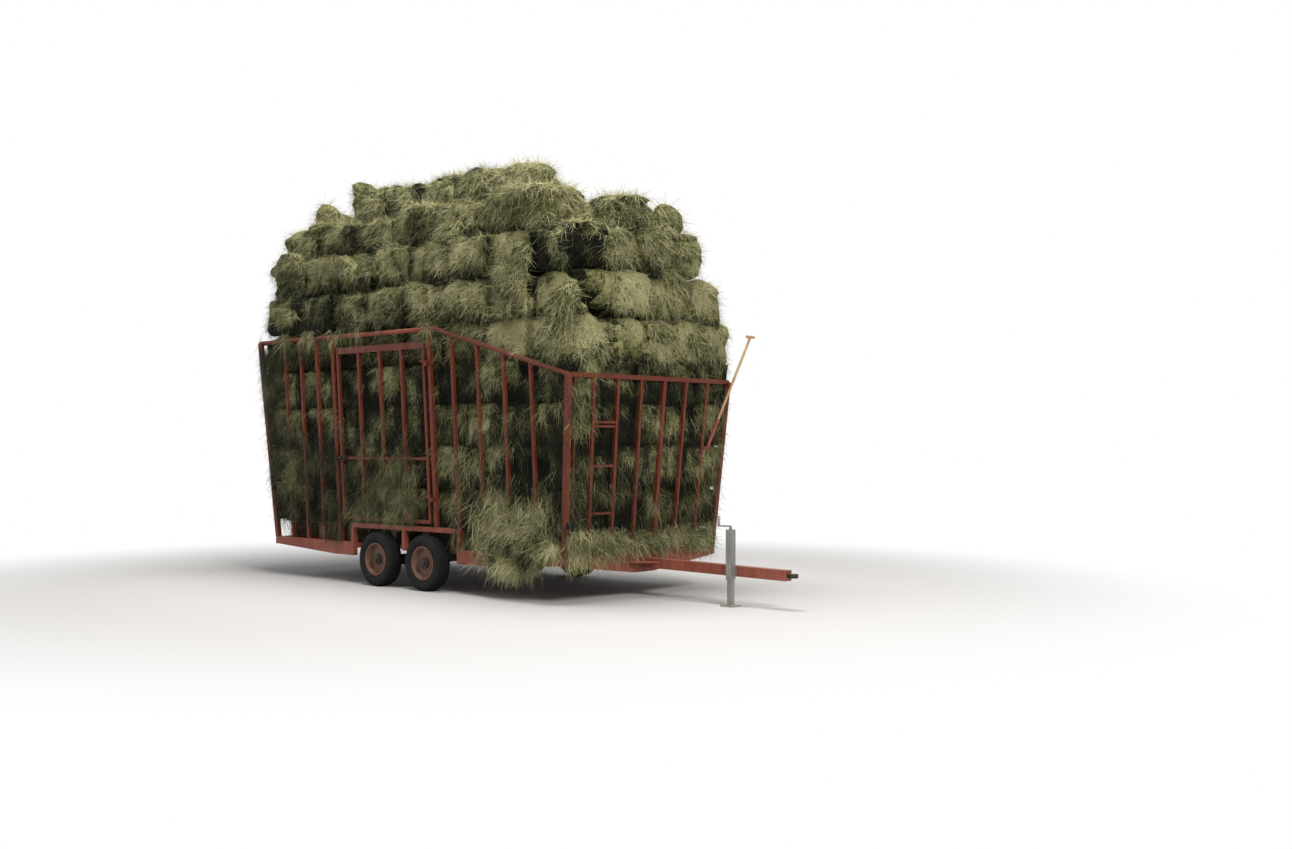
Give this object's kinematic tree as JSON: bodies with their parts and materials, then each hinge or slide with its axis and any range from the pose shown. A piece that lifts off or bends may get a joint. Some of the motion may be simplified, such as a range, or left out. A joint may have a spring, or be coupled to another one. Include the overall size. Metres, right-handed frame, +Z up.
{
  "type": "hay wagon",
  "caption": "Low farm wagon with close-set tandem wheels, a flared cage of upright bars with hinged gates, and a tall load of stacked hay bales.",
  "frame": {"origin": "centre of the tow eye's bore, halfway up the eye; the ground is 0.335 m below it", "axes": "+X forward along the drawbar, +Y to the wagon's left, +Z up along the tow eye's bore"},
  "size_m": [7.2825, 2.8919, 4.64],
  "materials": {
    "red_paint": "worn satin",
    "tyre": "dusty matte",
    "rim_paint": "dusty worn",
    "hub_iron": "greasy matte",
    "floor_wood": "weathered",
    "hay": "matte dry",
    "fork_wood": "worn smooth",
    "fork_paint": "satin",
    "jack_steel": "dull"
  },
  "bodies": {
    "wagon": {"bogie_axle": "red_paint", "cross_members": "red_paint", "drawbar": "red_paint", "floor_bearers": "floor_wood", "floor_boards": "floor_wood", "fork_head": "fork_paint", "fork_shaft": "fork_wood", "front_beam": "red_paint", "front_wall": "red_paint", "hay_core": "hay", "hay_course_1": "hay", "hay_course_2": "hay", "hay_course_3": "hay", "hay_course_4": "hay", "hay_course_5": "hay", "hay_course_6": "hay", "hay_course_7": "hay", "hay_course_8": "hay", "hay_course_9": "hay", "jack_crank": "jack_steel", "jack_tube": "jack_steel", "loose_hay": "hay", "main_beams": "red_paint", "rear_beam": "red_paint", "rear_top_rail": "red_paint", "side_panel_front_left": "red_paint", "side_panel_front_right": "red_paint", "side_panel_rear_left": "red_paint", "side_panel_rear_right": "red_paint", "side_rail_front_left": "red_paint", "side_rail_front_right": "red_paint", "side_rail_rear_left": "red_paint", "side_rail_rear_right": "red_paint", "top_rail_left": "red_paint", "top_rail_right": "red_paint", "tow_eye": "red_paint", "walking_beam_left": "red_paint", "walking_beam_right": "red_paint", "wheel_arch_left": "red_paint", "wheel_arch_right": "red_paint"},
    "wheel_front_right": {"tyre_front_right": "tyre", "rim_front_right": "rim_paint", "hub_front_right": "hub_iron"},
    "wheel_rear_right": {"tyre_rear_right": "tyre", "rim_rear_right": "rim_paint", "hub_rear_right": "hub_iron"},
    "side_gate_right": {"side_gate_right": "red_paint"},
    "rear_door_right": {"rear_door_right": "red_paint"},
    "wheel_front_left": {"tyre_front_left": "tyre", "rim_front_left": "rim_paint", "hub_front_left": "hub_iron"},
    "wheel_rear_left": {"tyre_rear_left": "tyre", "rim_rear_left": "rim_paint", "hub_rear_left": "hub_iron"},
    "side_gate_left": {"side_gate_left": "red_paint"},
    "rear_door_left": {"rear_door_left": "red_paint"},
    "jack_leg": {"jack_leg": "jack_steel"}
  },
  "joints": [
    {"name": "wheel_front_right_spin", "type": "hinge", "parent": "wagon", "child": "wheel_front_right", "pos_m": [-4.096, -1.169, -0.029], "axis": [0, 1, 0], "continuous": true},
    {"name": "wheel_rear_right_spin", "type": "hinge", "parent": "wagon", "child": "wheel_rear_right", "pos_m": [-4.932, -1.169, -0.029], "axis": [0, 1, 0], "continuous": true},
    {"name": "side_gate_right_hinge", "type": "hinge", "parent": "wagon", "child": "side_gate_right", "pos_m": [-3.99, -1.21892, 0.665], "axis": [0, -0.0569, 0.9984], "range_deg": [0, 170]},
    {"name": "rear_door_right_hinge", "type": "hinge", "parent": "wagon", "child": "rear_door_right", "pos_m": [-7.0941, -1.12892, 0.665], "axis": [-0.0836, -0.0567, 0.9949], "range_deg": [0, 170]},
    {"name": "wheel_front_left_spin", "type": "hinge", "parent": "wagon", "child": "wheel_front_left", "pos_m": [-4.096, 1.169, -0.029], "axis": [0, 1, 0], "continuous": true},
    {"name": "wheel_rear_left_spin", "type": "hinge", "parent": "wagon", "child": "wheel_rear_left", "pos_m": [-4.932, 1.169, -0.029], "axis": [0, 1, 0], "continuous": true},
    {"name": "side_gate_left_hinge", "type": "hinge", "parent": "wagon", "child": "side_gate_left", "pos_m": [-3.99, 1.21892, 0.665], "axis": [0, -0.0569, -0.9984], "range_deg": [0, 170]},
    {"name": "rear_door_left_hinge", "type": "hinge", "parent": "wagon", "child": "rear_door_left", "pos_m": [-7.0941, 1.12892, 0.665], "axis": [0.0836, -0.0567, -0.9949], "range_deg": [0, 170]},
    {"name": "jack_slide", "type": "slide", "parent": "wagon", "child": "jack_leg", "axis": [0, 0, 1], "range_m": [0, 0.24]}
  ]
}
